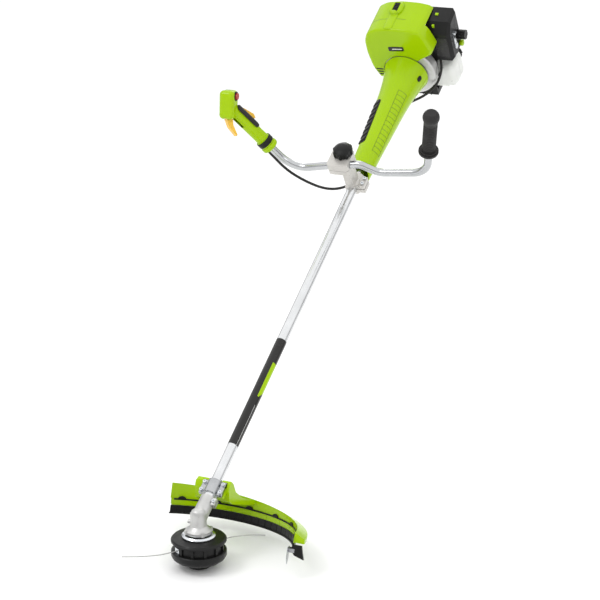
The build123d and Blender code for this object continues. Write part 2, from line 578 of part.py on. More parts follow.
def intake():
    insulator = box((45, 58), (CRANK_S - 13, CRANK_S + 13), (56, 78)) - rod_x(8, (40, 60), CRANK_S, 67)
    nodes["intake_insulator"] = TOOL * insulator
    carb = box((58, 88), (CRANK_S - 13.5, CRANK_S + 14), (52, 82))
    carb = fillet(carb.edges().filter_by(Axis.X), 4)
    carb += rod_z(9, (82, 88), 70, CRANK_S) + rod_x(4, (62, 84), CRANK_S - 12, 86)
    carb -= rod_x(8, (50, 90), CRANK_S, 67)
    nodes["carburettor"] = TOOL * carb
    room = prism_x(filter_outline(3.0), (80, 130))
    base = box((88, 91), (1530, 1610), (20, 140)) & room
    base += box((88, 91), (1570, 1596), (-3, 24))
    base -= rod_x(8, (80, 95), CRANK_S, 67)
    base += rod_x(7, (91, 108), BULB_S, BULB_N)
    tray = prism_x(filter_outline(3.0), (91, 97)) - prism_x(filter_outline(5.0), (90, 98))
    nodes["filter_base"] = TOOL * (base + tray)
    outside = prism_x(filter_outline(0), (60, 128))
    outside = chamfer(outside.faces().sort_by(Axis.X)[-1].edges(), 7)
    inside = prism_x(filter_outline(2.5), (50, 125.5))
    inside = chamfer(inside.faces().sort_by(Axis.X)[-1].edges(), 6)
    cover = outside - inside - box((50, 96), (1534.5, 1603.5), (10, 40))
    cover -= rod_x(4.1, (110, 130), 1588, 64) + rod_x(3 + RUNNING, (110, 130), 1556, 52)
    element = prism_x(filter_outline(5.5), (97, 116))
    element -= rod_x(5, (110, 130), 1556, 52) + rod_x(6, (110, 130), 1588, 64)
    nodes["filter_element"] = TOOL * element
    nodes["filter_cover"] = TOOL * cover
    knob = rod_x(13, (128.5, 150), 1588, 64) + rod_x(4, (117, 129), 1588, 64)
    for step in range(6):
        turn = Pos(0, 1588, 64) * Rot(60 * step, 0, 0) * Pos(0, -1588, -64)
        knob -= turn * rod_x(3.2, (131, 152), 1588 + 14.6, 64)
    nodes["filter_knob"] = TOOL * knob
    lever = box((128.5, 131.5), (1550, 1562), (50, 100)) + rod_x(8, (128.5, 133), 1556, 52)
    lever += box((128.5, 137), (1551, 1561), (94, 100)) + rod_x(3, (118, 129), 1556, 52)
    nodes["choke_lever"] = TOOL * lever
    bulb = rod_x(9, (106.5, 110), BULB_S, BULB_N) + Pos(110, BULB_S, BULB_N) * Sphere(9)
    bulb = (bulb & box((106.5, 130), (1560, 1600), (-10, 30))) - rod_x(7.3, (100, 111.2), BULB_S, BULB_N)
    nodes["primer_bulb"] = TOOL * bulb


def filter_outline(inset):
    """The air filter box seen from its side, as (s, n) points, shrunk by inset."""
    return [(1532 + inset, 18 + inset), (1532 + inset, 108 - inset * 0.6),
            (1554 + inset * 0.6, 136 - inset), (1606 - inset, 140 - inset),
            (1606 - inset, 18 + inset)]


TANK_LOW = -88.0
CAP_X = 88.0
CAP_N = -38.0


def tank_form(inset):
    """The tank's outer form, or its inner space when inset is the wall's thickness."""
    s = (1536 + inset, 1612 - inset)
    low = box((-92 + inset, 96 - inset), s, (TANK_LOW + inset, -58 - inset))
    side = box((52 + inset, 116 - inset), s, (TANK_LOW + inset, -10 - inset))
    return fillet(low.edges(), 9 - inset) + fillet(side.edges(), 17 - inset)


def fuel_system():
    body = tank_form(0)
    skin = tank_form(3)
    neck = rod_s(16, (1611, 1620), CAP_X, CAP_N)
    tank = body + neck - skin - rod_s(13, (1600, 1625), CAP_X, CAP_N)
    tank -= rod_s(3, (1530, 1540), 74, -40)
    nodes["fuel_tank"] = TOOL * tank
    cap = rod_s(20, (1614, 1628), CAP_X, CAP_N) - rod_s(16 + RUNNING, (1610, 1622), CAP_X, CAP_N)
    for step in range(12):
        rib = box((19, 21.5), (1615, 1627), (-1.5, 1.5))
        cap += Pos(CAP_X, 0, CAP_N) * Rot(0, 30 * step, 0) * rib
    nodes["fuel_cap"] = TOOL * cap
    hose_route = [(74, 1542, -40), (74, 1526.5, -40), (75, 1526.5, -14), (76, 1526.5, 10),
                  (72, 1542, 16), (65, 1544, 32), (65, 1544, 51.8)]
    hose = tube_along(hose_route, 3.0, [8, 60, 7, 7, 12])[0]
    nodes["fuel_line"] = TOOL * hose
    low = TANK_LOW - 1.0
    stand = box((-96, 60), (1526, 1620), (low - 20, low - 15))
    stand += box((-96, 60), (1526, 1530), (low - 18, -82))
    for x in (-96, 56):
        stand += box((x, x + 4), (1526, 1620), (low - 18, low - 4))
    for x in (-75, -45, -15, 15, 38):
        stand += box((x, x + 3), (1523, 1527), (low - 19, -82))
    stand += box((-12, 12), (1528.2, 1534), (-90, -56))
    nodes["tank_stand"] = TOOL * stand


def ring_x(outer, inner, x):
    return rod_x(outer, x) - rod_x(inner, x)


def starter():
    shell = turned_s([(0, 1636), (44, 1636), (54, 1628), (56, 1620), (56, 1583), (53, 1583),
                      (53, 1619), (51, 1626), (43, 1633), (6, 1633), (6, 1610), (0, 1610)])
    for step in range(10):
        shell -= Rot(0, 36 * step, 0) * box((22, 46), (1630, 1640), (-3, 3))
    shell += rod_x(9, (-60, -44), 1617, 30)
    shell -= rod_x(3.2, (-70, -40), 1617, 30)
    for angle in (45, 135, 225, 315):
        shell += Rot(0, angle, 0) * (rod_s(7, (1583, 1592), 58, 0) - rod_s(55, (1580, 1600)))
    nodes["starter_housing"] = TOOL * shell
    pulley = ring_s(30, 6 + RUNNING, (1611, 1624)) - ring_s(31, 24, (1614.5, 1620))
    nodes["starter_pulley"] = TOOL * pulley
    bar = box((-84, -61.2), (1608, 1626), (2, 58))
    bar = fillet(bar.edges(), 8)
    nodes["starter_handle"] = TOOL * (bar - rod_x(3, (-75, -50), 1617, 30))


def fasteners():
    """All the M5 cap screws, with their holes cut in the pieces that they hold."""
    placed = {"guard_clamp": [Pos(x, s, 3) * cap_screw(14) for x in (-24, 24) for s in (77, 99)],
              "bar_saddle": [Pos(27, s, 13) * cap_screw(24) for s in (1060, 1078)],
              "gear_case": [Pos(20.5, 49, 7) * cap_screw(13)]}
    group = []
    for name, screws in placed.items():
        for screw in screws:
            nodes[name] = nodes[name] - TOOL * screw
            group.append(screw)
    for screw in placed["guard_clamp"]:
        nodes["guard_shell"] = nodes["guard_shell"] - TOOL * screw
    nodes["clamp_screws"] = TOOL * solids(*group)


cutting_head()
head_lines()
gearbox()
shaft_assembly()
guard()
handlebar()
left_grip()
throttle_handle()
front_cover()
clutch_housing()
crank_train()
crankcase()
engine_shroud()
intake()
fuel_system()
starter()
fasteners()
cord("throttle_cable", CABLE_ROUTE, CABLE_R, TOOL)

for name, shape in nodes.items():
    export_step(shape, "parts/" + name + ".step")
print(len(nodes), "nodes written")
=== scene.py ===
import math

import bpy
from mathutils import Matrix, Vector
from mathutils.bvhtree import BVHTree


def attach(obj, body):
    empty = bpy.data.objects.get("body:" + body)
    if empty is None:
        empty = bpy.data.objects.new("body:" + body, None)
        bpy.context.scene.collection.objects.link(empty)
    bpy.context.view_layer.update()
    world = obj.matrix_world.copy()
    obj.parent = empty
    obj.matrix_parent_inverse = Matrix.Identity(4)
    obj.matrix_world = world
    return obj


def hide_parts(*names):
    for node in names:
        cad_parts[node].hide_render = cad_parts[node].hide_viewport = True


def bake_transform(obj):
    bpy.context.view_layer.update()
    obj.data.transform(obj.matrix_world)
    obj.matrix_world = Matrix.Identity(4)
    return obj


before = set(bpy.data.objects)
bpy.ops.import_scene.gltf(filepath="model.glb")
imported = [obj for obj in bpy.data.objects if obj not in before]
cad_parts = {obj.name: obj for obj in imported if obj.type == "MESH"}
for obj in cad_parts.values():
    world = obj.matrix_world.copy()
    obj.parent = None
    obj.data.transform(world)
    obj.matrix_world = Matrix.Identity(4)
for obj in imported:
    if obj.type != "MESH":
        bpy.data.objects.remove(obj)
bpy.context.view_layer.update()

MM = 0.001


def placed(spot, *turns):
    """The matrix of a spot in mm, followed by turns of (degrees, axis)."""
    made = Matrix.Translation(Vector(spot) * MM)
    for degrees, axis in turns:
        made = made @ Matrix.Rotation(math.radians(degrees), 4, axis)
    return made


# The sub-parts' own frames. TOOL has Y along the shaft, and its points are written (x, s, n).
TOOL = placed((0, 0, 117), (33, "X"))
GUARD = placed((8, 0, 78), (-13.5, "X"), (2, "Y"))
HANDLE = TOOL @ placed((-191, 1040, 136), (-31.5, "Y"))
BLOCK = TOOL @ placed((-274, 1040, 279), (-37, "X"), (2, "Z"))


# Camera, placed where the picture was taken from.

CAMERA_SPOT = (1.9225, -3.6442, 1.9291)
CAMERA_DIRECTION = Vector((-0.3972, 0.8677, -0.2990))


def place_camera():
    camera = bpy.data.objects.new("camera", bpy.data.cameras.new("camera"))
    bpy.context.scene.collection.objects.link(camera)
    camera.data.sensor_width = 36.0
    camera.data.lens = 117.7
    camera.data.clip_end = 400.0
    camera.location = CAMERA_SPOT
    camera.rotation_euler = CAMERA_DIRECTION.to_track_quat("-Z", "Y").to_euler()
    bpy.context.scene.camera = camera


place_camera()


# Materials: every one is made of nodes, in the object's own coordinates.

def node(tree, kind, **values):
    made = tree.nodes.new(kind)
    for key, value in values.items():
        if isinstance(value, (int, float, tuple)) and key in made.inputs:
            made.inputs[key].default_value = value
        else:
            setattr(made, key, value)
    return made


def coordinates(tree, stretch=(1, 1, 1), tilt=0.0):
    """Object coordinates, turned by tilt degrees about X and stretched, so that grain has a run."""
    place = node(tree, "ShaderNodeTexCoord")
    mapping = node(tree, "ShaderNodeMapping")
    mapping.inputs["Rotation"].default_value = (-math.radians(tilt), 0, 0)
    mapping.inputs["Scale"].default_value = stretch
    tree.links.new(place.outputs["Object"], mapping.inputs["Vector"])
    return mapping.outputs["Vector"]


def noise(tree, where, scale, detail=4.0):
    made = node(tree, "ShaderNodeTexNoise", Scale=scale, Detail=detail, Roughness=0.55)
    tree.links.new(where, made.inputs["Vector"])
    return made.outputs["Fac"]


def ranged(tree, value, low, high, start=0.3, stop=0.7):
    made = node(tree, "ShaderNodeMapRange")
    made.inputs["From Min"].default_value = start
    made.inputs["From Max"].default_value = stop
    made.inputs["To Min"].default_value = low
    made.inputs["To Max"].default_value = high
    tree.links.new(value, made.inputs["Value"])
    return made.outputs["Result"]


def mixed(tree, factor, first, second):
    made = node(tree, "ShaderNodeMix")
    made.data_type = "RGBA"
    made.inputs["A"].default_value = (*first, 1)
    made.inputs["B"].default_value = (*second, 1)
    tree.links.new(factor, made.inputs["Factor"])
    return made.outputs["Result"]


BUMP_STRENGTH = 0.6
GLOSS_FINER = 2.7


def finish_bump(tree, shader, height, depth):
    bump = node(tree, "ShaderNodeBump", Strength=BUMP_STRENGTH, Distance=depth)
    tree.links.new(height, bump.inputs["Height"])
    tree.links.new(bump.outputs["Normal"], shader.inputs["Normal"])


def surface(name, light, dark, rough, metal=0.0, grain=1500.0, depth=0.00008, patch=22.0,
            stretch=(1, 1, 1), tilt=0.0, spread=0.08, pattern="noise", **sockets):
    """A finish with patches of tone, uneven gloss and a fine relief."""
    material = bpy.data.materials.new(name)
    material.use_nodes = True
    tree = material.node_tree
    shader = tree.nodes["Principled BSDF"]
    where = coordinates(tree)
    grain_where = coordinates(tree, stretch, tilt)
    tone = ranged(tree, noise(tree, where, patch), 0.0, 1.0)
    tree.links.new(mixed(tree, tone, light, dark), shader.inputs["Base Color"])
    gloss_noise = noise(tree, where, patch * GLOSS_FINER)
    gloss = ranged(tree, gloss_noise, rough - spread, rough + spread)
    tree.links.new(gloss, shader.inputs["Roughness"])
    shader.inputs["Metallic"].default_value = metal
    for socket, value in sockets.items():
        shader.inputs[socket.replace("_", " ")].default_value = value
    if pattern == "cells":
        cells = node(tree, "ShaderNodeTexVoronoi", Scale=grain)
        tree.links.new(grain_where, cells.inputs["Vector"])
        height = cells.outputs["Distance"]
    else:
        height = noise(tree, grain_where, grain, 2.0)
    finish_bump(tree, shader, height, depth)
    return material


GREEN = (0.345, 0.545, 0.0008)
GREEN_SHADE = (0.33, 0.525, 0.0008)
ALONG_SHAFT = (1, 0.03, 1)
ALONG_BAR = (0.06, 1, 1)
mats = {
    "green": surface("green_gloss", GREEN, GREEN_SHADE, 0.17, grain=420, depth=0.00002,
                     patch=9, spread=0.04, Specular_IOR_Level=0.22),
    "green_dark": surface("green_engraved", (0.10, 0.17, 0.003), (0.08, 0.14, 0.003), 0.5),
    "black": surface("black_grained", (0.011, 0.011, 0.011), (0.006, 0.006, 0.006), 0.36,
                     grain=1900, depth=0.0001, pattern="cells", Specular_IOR_Level=0.22),
    "black_gloss": surface("black_glossy", (0.016, 0.015, 0.015), (0.011, 0.011, 0.010), 0.24,
                           grain=300, depth=0.00003, patch=14, Specular_IOR_Level=0.35),
    "rubber": surface("grip_rubber", (0.020, 0.019, 0.019), (0.012, 0.011, 0.011), 0.58,
                      grain=2600, depth=0.00016, pattern="cells", Specular_IOR_Level=0.35),
    "tube": surface("drawn_tube", (0.74, 0.75, 0.76), (0.66, 0.67, 0.68), 0.22, metal=1.0,
                    grain=900, depth=0.00002, stretch=ALONG_SHAFT, tilt=33, spread=0.07),
    "bar": surface("polished_bar", (0.53, 0.54, 0.55), (0.46, 0.47, 0.48), 0.20, metal=1.0,
                   grain=700, depth=0.00002, stretch=ALONG_BAR, spread=0.05),
    "cast": surface("die_cast", (0.62, 0.62, 0.61), (0.48, 0.48, 0.47), 0.42, metal=0.85,
                    grain=1400, depth=0.00016, spread=0.1),
    "silver": surface("silver_paint", (0.60, 0.585, 0.55), (0.54, 0.52, 0.49), 0.33, metal=0.35,
                      grain=1700, depth=0.00006, spread=0.06, Coat_Weight=0.2),
    "steel": surface("turned_steel", (0.56, 0.57, 0.58), (0.42, 0.43, 0.45), 0.30, metal=1.0,
                     grain=1100, depth=0.00005, spread=0.1),
    "zinc": surface("plated_steel", (0.74, 0.76, 0.78), (0.60, 0.63, 0.66), 0.24, metal=1.0,
                    grain=800, depth=0.00005, spread=0.09),
    "chrome": surface("chromed_strap", (0.50, 0.51, 0.52), (0.40, 0.41, 0.42), 0.14, metal=1.0,
                      grain=500, depth=0.00003, spread=0.05),
    "amber": surface("amber_moulding", (0.95, 0.59, 0.060), (0.88, 0.51, 0.040), 0.26, grain=500,
                     depth=0.00004, Transmission_Weight=0.12, Coat_Weight=0.2),
    "red": surface("red_moulding", (0.42, 0.014, 0.014), (0.34, 0.010, 0.010), 0.30, grain=700,
                   depth=0.00006),
    "tank": surface("milky_tank", (0.92, 0.93, 0.90), (0.85, 0.87, 0.83), 0.34, grain=360,
                    depth=0.00008, patch=12, Transmission_Weight=0.18, Subsurface_Weight=0.25,
                    Subsurface_Radius=(0.02, 0.02, 0.02)),
    "nylon": surface("nylon_line", (0.46, 0.46, 0.45), (0.36, 0.36, 0.35), 0.30, grain=900,
                     depth=0.00005, Transmission_Weight=0.1),
    "phenolic": surface("phenolic_block", (0.40, 0.30, 0.20), (0.30, 0.22, 0.14), 0.55, grain=900,
                        depth=0.0002, stretch=(1, 1, 6)),
    "foam": surface("filter_foam", (0.05, 0.05, 0.05), (0.02, 0.02, 0.02), 0.9, grain=900,
                    depth=0.001, pattern="cells"),
    "bronze": surface("sintered_bronze", (0.55, 0.38, 0.20), (0.44, 0.30, 0.15), 0.42, metal=1.0,
                      grain=1600, depth=0.0001),
    "grey_print": surface("grey_print", (0.70, 0.70, 0.69), (0.60, 0.60, 0.59), 0.4),
    "scorched": surface("scorched_steel", (0.44, 0.40, 0.36), (0.24, 0.20, 0.17), 0.42, metal=0.9,
                        grain=700, depth=0.0001, patch=30),
}

NODE_FINISH = {
    "green": "guard_shell guard_extension throttle_housing_inner throttle_housing_outer front_cover "
             "engine_shroud",
    "black": "head_housing head_cover bump_knob line_spool guard_lip filter_base filter_cover "
             "filter_knob fuel_cap tank_stand starter_housing starter_pulley starter_handle "
             "clamp_knob ignition_coil",
    "rubber": "left_grip primer_bulb fuel_line throttle_cable",
    "tube": "shaft_tube",
    "bar": "handlebar",
    "cast": "gear_case clutch_housing flywheel crankcase cylinder carburettor piston",
    "silver": "bar_saddle bar_cap",
    "steel": "output_shaft drive_pinion drive_shaft clutch_drum clutch_shoes crankshaft line_cutter "
             "ball_bearings",
    "zinc": "line_eyelets head_dish clamp_screws choke_lever spark_plug",
    "chrome": "guard_clamp",
    "scorched": "muffler",
    "amber": "throttle_trigger lockout_lever",
    "red": "stop_switch",
    "tank": "fuel_tank",
    "nylon": "line_left line_right",
    "phenolic": "intake_insulator",
    "foam": "filter_element",
    "bronze": "shaft_bushes",
}


WELD = 0.000002
SHARP = math.radians(32)


def smoothing_group():
    """Joins the mesh's split corners and shades it smooth, except over edges sharper than SHARP."""
    group = bpy.data.node_groups.new("smooth_by_angle", "GeometryNodeTree")
    for way in ("INPUT", "OUTPUT"):
        group.interface.new_socket("Geometry", in_out=way, socket_type="NodeSocketGeometry")
    start = group.nodes.new("NodeGroupInput")
    end = group.nodes.new("NodeGroupOutput")
    weld = node(group, "GeometryNodeMergeByDistance", Distance=WELD)
    plain = node(group, "GeometryNodeRemoveAttribute")
    plain.inputs["Name"].default_value = "custom_normal"
    faces = node(group, "GeometryNodeSetShadeSmooth", domain="FACE")
    edges = node(group, "GeometryNodeSetShadeSmooth", domain="EDGE")
    edges.inputs["Shade Smooth"].default_value = False
    angle = group.nodes.new("GeometryNodeInputMeshEdgeAngle")
    above = node(group, "ShaderNodeMath", operation="GREATER_THAN")
    above.inputs[1].default_value = SHARP
    link = group.links.new
    link(start.outputs[0], weld.inputs["Geometry"])
    link(weld.outputs["Geometry"], plain.inputs["Geometry"])
    link(plain.outputs["Geometry"], faces.inputs["Geometry"])
    link(faces.outputs["Geometry"], edges.inputs["Geometry"])
    link(angle.outputs["Unsigned Angle"], above.inputs[0])
    link(above.outputs[0], edges.inputs["Selection"])
    link(edges.outputs["Geometry"], end.inputs[0])
    return group


def finish_nodes():
    group = smoothing_group()
    for finish, names in NODE_FINISH.items():
        for name in names.split():
            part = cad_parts[name]
            if not part.material_slots:
                part.data.materials.append(mats[finish])
            for place in part.material_slots:
                place.material = mats[finish]
            smooth = part.modifiers.new("smooth", "NODES")
            smooth.node_group = group


finish_nodes()


# Building blocks for the pieces.

def smooth(mesh):
    mesh.polygons.foreach_set("use_smooth", [True] * len(mesh.polygons))


def piece(name, vertices, faces, finish, body, place=Matrix.Identity(4), unit=MM):
    """A smooth mesh that rides a body; its vertices are in units of unit metres, in place's frame."""
    mesh = bpy.data.meshes.new(name)
    mesh.from_pydata([place @ (Vector(v) * unit) for v in vertices], [], faces)
    mesh.update()
    made = bpy.data.objects.new(name, mesh)
    bpy.context.scene.collection.objects.link(made)
    mesh.materials.append(mats[finish])
    smooth(mesh)
    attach(made, body)
    return made


BEVEL_ANGLE = math.radians(40)


def bevelled(made, width, segments=2):
    bevel = made.modifiers.new("bevel", "BEVEL")
    bevel.width = width * MM
    bevel.segments = segments
    bevel.limit_method = "ANGLE"
    bevel.angle_limit = BEVEL_ANGLE
    bevel.harden_normals = True
    return made


def block(name, x, s, n, finish, bevel=1.0):
    """A bevelled block between limits in the shaft's frame, fixed to the frame body."""
    corners = [(a, b, c) for a in x for b in s for c in n]
    faces = [(0, 1, 3, 2), (4, 6, 7, 5), (0, 4, 5, 1), (2, 3, 7, 6), (0, 2, 6, 4), (1, 5, 7, 3)]
    return bevelled(piece(name, corners, faces, finish, "frame", TOOL), bevel, 3)


def lathe(name, profile, place, finish, body, steps=64, ripple=None):
    """A closed ring of (radius, height) points turned about the place's Z.

    ripple(turn) is added to every radius.
    """
    vertices = []
    for step in range(steps):
        turn = 2 * math.pi * step / steps
        grow = ripple(turn) if ripple else 0.0
        for radius, height in profile:
            reach = radius + grow
            vertices.append((reach * math.cos(turn), reach * math.sin(turn), height))
    count = len(profile)
    faces = []
    for step in range(steps):
        here, after = step * count, (step + 1) % steps * count
        for k in range(count):
            m = (k + 1) % count
            faces.append((here + k, after + k, after + m, here + m))
    return piece(name, vertices, faces, finish, body, place)


def surface_tree(name):
    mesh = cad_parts[name].data
    corners = [tuple(face.vertices) for face in mesh.polygons]
    return BVHTree.FromPolygons([v.co for v in mesh.vertices], corners)


RAY_REACH = 0.3
SUNK = 0.2


def wrapped(name, hit, rows, columns, outline, thick, finish, relief=None):
    """A patch laid on a surface of the frame body.

    outline(u, v) gives a ray's start and direction. thick and relief(u, v) are in mm.
    """
    top, low, keep = [], [], {}
    for i in range(rows + 1):
        for j in range(columns + 1):
            start, toward = outline(i / rows, j / columns)
            found, normal, _, _ = hit.ray_cast(start, toward, RAY_REACH)
            if found is None:
                continue
            if normal.dot(toward) > 0:
                normal = -normal
            rise = thick + (relief(i / rows, j / columns) if relief else 0.0)
            keep[i, j] = len(top)
            top.append(found + normal * rise * MM)
            low.append(found - normal * SUNK * MM)
    faces, edges = [], []
    for i in range(rows):
        for j in range(columns):
            ring = [(i, j), (i + 1, j), (i + 1, j + 1), (i, j + 1)]
            if all(p in keep for p in ring):
                face = [keep[p] for p in ring]
                faces.append(face)
                edges += zip(face, face[1:] + face[:1])
    count = len(top)
    known = set(edges)
    faces += [(b, a, a + count, b + count) for a, b in edges if (b, a) not in known]
    return piece(name, top + low, faces, finish, "frame", unit=1.0)


def rounded(u, v, length, width, corner):
    """(u, v) in 0..1 mapped into a rounded rectangle, in mm, centred on 0."""
    x = (u - 0.5) * length
    room = length / 2 - abs(x)
    half = width / 2
    if room < corner:
        half -= corner - math.sqrt(max(0.0, corner ** 2 - (corner - room) ** 2))
    return x, (2 * v - 1) * half


def curve_piece(name, points, radius, finish, unit=MM):
    """A smooth NURBS tube through the pull of its points."""
    data = bpy.data.curves.new(name, "CURVE")
    data.dimensions = "3D"
    data.bevel_depth = radius * MM
    data.bevel_resolution = 5
    data.resolution_u = 16
    data.use_fill_caps = True
    spline = data.splines.new("NURBS")
    spline.points.add(len(points) - 1)
    for spot, point in zip(spline.points, points):
        spot.co = (*(Vector(point) * unit), 1)
    spline.order_u = 3
    spline.use_endpoint_u = True
    made = bpy.data.objects.new(name, data)
    bpy.context.scene.collection.objects.link(made)
    data.materials.append(mats[finish])
    return made


def tube_mesh(name, points, radius, finish):
    guide = curve_piece(name + "_guide", points, radius, finish, unit=1.0)
    bpy.context.view_layer.update()
    shape = guide.evaluated_get(bpy.context.evaluated_depsgraph_get())
    mesh = bpy.data.meshes.new_from_object(shape)
    bpy.data.objects.remove(guide)
    smooth(mesh)
    made = bpy.data.objects.new(name, mesh)
    bpy.context.scene.collection.objects.link(made)
    return made


# The two nylon lines.

LINE_R = 1.2
LINES = {
    "line_left": ([(-26, -40, 52), (-38, -58.5, 52), (-53, -80, 52), (-75, -98, 52),
                   (-101, -112, 51.2), (-132, -123.5, 50)], 0.139),
    "line_right": ([(26, 40, 52), (37, 57.5, 52), (50, 76, 52), (67, 93, 51.5), (88, 108, 50.5),
                    (111, 120, 49)], 0.119)}


def nylon_lines():
    for name, (points, length) in LINES.items():
        flex = curve_piece("nylon_" + name, points, LINE_R, "nylon")
        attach(flex, "cutting_head")
        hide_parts(name)


nylon_lines()


# The throttle cable, held at the handle, under the shaft and at the carburettor.

CABLE_R = 3.5
CABLE = [(-207, 1040, 128), (-196, 1042, 101), (-174, 1050, 45), (-138, 1058, 3),
         (-98, 1066, -27), (-64, 1077, -38), (-30, 1092, -33), (-10, 1113, -21),
         (-1, 1150, -18.5), (3, 1200, -19), (7, 1260, -20), (12, 1320, -22),
         (16, 1375, -27), (22, 1422, -43), (48, 1458, -53), (76, 1488, -42),
         (88, 1512, -18), (88, 1532, 4), (80, 1545, 20), (75, 1551, 35), (74, 1552, 51.2)]


def throttle_cable():
    """One sleeve, with a free loop between two of its points."""
    points = [TOOL @ (Vector(p) * MM) for p in CABLE]
    made = tube_mesh("throttle_cable_sleeve", points, CABLE_R, "rubber")
    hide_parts("throttle_cable")
    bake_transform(made)


throttle_cable()


# Decal sleeve on the tube: black, with a green field above and a thin pale line below.

SLEEVE_R = 13.2
SLEEVE_START, SLEEVE_END = 211.0, 533.0
GREEN_FIELD = (354, 460)
FIELD_FROM, FIELD_SPAN = 305, 103
FIELD_TIP = 95
FIELD_SLANT = 0.35
PALE_LINE_END = 330
PALE_LINE_SIDES = (26, 31)
BLACK, FIELD, PALE = range(3)


def sleeve_shade(s, degrees):
    """The colour at a station and an angle; the field's lower end slants away from its tip."""
    around = (degrees - FIELD_FROM) % 360
    slant = abs(around - FIELD_TIP) * FIELD_SLANT
    if around < FIELD_SPAN and GREEN_FIELD[0] + slant < s < GREEN_FIELD[1]:
        return FIELD
    if s < PALE_LINE_END and PALE_LINE_SIDES[0] < degrees < PALE_LINE_SIDES[1]:
        return PALE
    return BLACK


def tube_sleeve():
    steps, rows = 96, 80
    length = SLEEVE_END - SLEEVE_START
    vertices, faces, shades = [], [], []
    for row in range(rows + 1):
        s = SLEEVE_START + length * row / rows
        for step in range(steps):
            turn = 2 * math.pi * step / steps
            vertices.append((SLEEVE_R * math.cos(turn), s, SLEEVE_R * math.sin(turn)))
    for row in range(rows):
        s = SLEEVE_START + length * (row + 0.5) / rows
        for step in range(steps):
            here, after = row * steps + step, row * steps + (step + 1) % steps
            faces.append((here, after, after + steps, here + steps))
            shades.append(sleeve_shade(s, 360 * (step + 0.5) / steps))
    made = piece("tube_sleeve", vertices, faces, "black_gloss", "frame", TOOL)
    for finish in ("green", "grey_print"):
        made.data.materials.append(mats[finish])
    made.data.polygons.foreach_set("material_index", shades)


tube_sleeve()


# Front cover: black slatted insert, engraved panel and a small clip.

CONE_REACH = 120
COVER_R, COVER_START, COVER_FLARE = 33, 1190, 0.055
PAD_ANGLE = math.radians(130)
PAD_MIDDLE = 1268
PAD_SHAPE = (156, 28, 9)
SLATS, SLAT_START, SLAT_PITCH = 8, 1201, 19
SLAT_SLANT = 0.55
SLAT_SHAPE = (9.5, 22, 3)
PANEL_START, PANEL_END = 1168, 1384
PANEL_SIDES = (-12, 17)
PANEL_FOOT, PANEL_RUN = 1165, 220
PANEL_R, PANEL_R_GAIN = 34, 12
PANEL_DEGREES, PANEL_CLIMB = 27, 14
RUNGS, RUNG_PITCH = 15, 15.4
GROOVE_WIDTH, GROOVE_THICK = 1.0, 0.25
SIDE_OVERHANG = 0.2
CLIP_S, CLIP_ANGLE, CLIP_RADIUS = 1454, math.radians(18), 54
CLIP_SHAPE = (17, 12, 5)


def cone_ray(s, angle):
    """A ray from outside the cover towards the shaft's line, at a station and an angle from +X."""
    away = Vector((math.cos(angle), 0, math.sin(angle)))
    start = TOOL @ ((Vector((0, s, 0)) + away * CONE_REACH) * MM)
    toward = (TOOL.to_3x3() @ -away).normalized()
    return start, toward


def pad_ray(s, across):
    """A ray at a station of the insert, across mm round the cover from its middle line."""
    cover_radius = COVER_R + (s - COVER_START) * COVER_FLARE
    return cone_ray(s, PAD_ANGLE + across / cover_radius)


def panel_ray(s, across):
    """A ray at a station of the panel, whose middle line climbs round the cover."""
    share = (s - PANEL_FOOT) / PANEL_RUN
    cover_radius = PANEL_R + share * PANEL_R_GAIN
    return cone_ray(s, math.radians(PANEL_DEGREES + PANEL_CLIMB * share) + across / cover_radius)


def cover_insert(cone):
    def pad_outline(u, v):
        along, across = rounded(u, v, *PAD_SHAPE)
        return pad_ray(PAD_MIDDLE + along, across)

    wrapped("cover_pad", cone, 120, 14, pad_outline, 1.0, "black")
    for slat in range(SLATS):
        def slat_outline(u, v, middle=SLAT_START + SLAT_PITCH * slat):
            along, across = rounded(u, v, *SLAT_SHAPE)
            return pad_ray(middle + along - SLAT_SLANT * across, across)

        wrapped("cover_slat_%d" % slat, cone, 10, 14, slat_outline, 3.0, "black_gloss")


def groove(cone, name, stations, sides, rows, columns):
    """A dark line on the panel, between two stations and two sides."""
    def outline(u, v):
        s = stations[0] + (stations[1] - stations[0]) * u
        return panel_ray(s, sides[0] + (sides[1] - sides[0]) * v)

    wrapped(name, cone, rows, columns, outline, GROOVE_THICK, "green_dark")


def panel_sides(cone):
    right, left = PANEL_SIDES
    right_edge, left_edge = right - SIDE_OVERHANG, left + SIDE_OVERHANG
    ends = (PANEL_START, PANEL_END)
    groove(cone, "panel_side_left", ends, (left_edge - GROOVE_WIDTH, left_edge), 60, 1)
    groove(cone, "panel_side_right", ends, (right_edge, right_edge + GROOVE_WIDTH), 60, 1)


def panel_rungs(cone):
    for rung in range(RUNGS):
        s = PANEL_START + rung * RUNG_PITCH
        groove(cone, "panel_rung_%02d" % rung, (s, s + GROOVE_WIDTH), PANEL_SIDES, 1, 20)


def cover_clip(cone):
    def outline(u, v):
        along, across = rounded(u, v, *CLIP_SHAPE)
        return cone_ray(CLIP_S + along, CLIP_ANGLE + across / CLIP_RADIUS)

    wrapped("cover_clip", cone, 12, 8, outline, 1.6, "black")


def cover_details():
    cone = surface_tree("front_cover")
    cover_insert(cone)
    panel_sides(cone)
    cover_clip(cone)
    panel_rungs(cone)


cover_details()


# Engine shroud: raised rib, blank plate with a pale stripe, and a joint line.

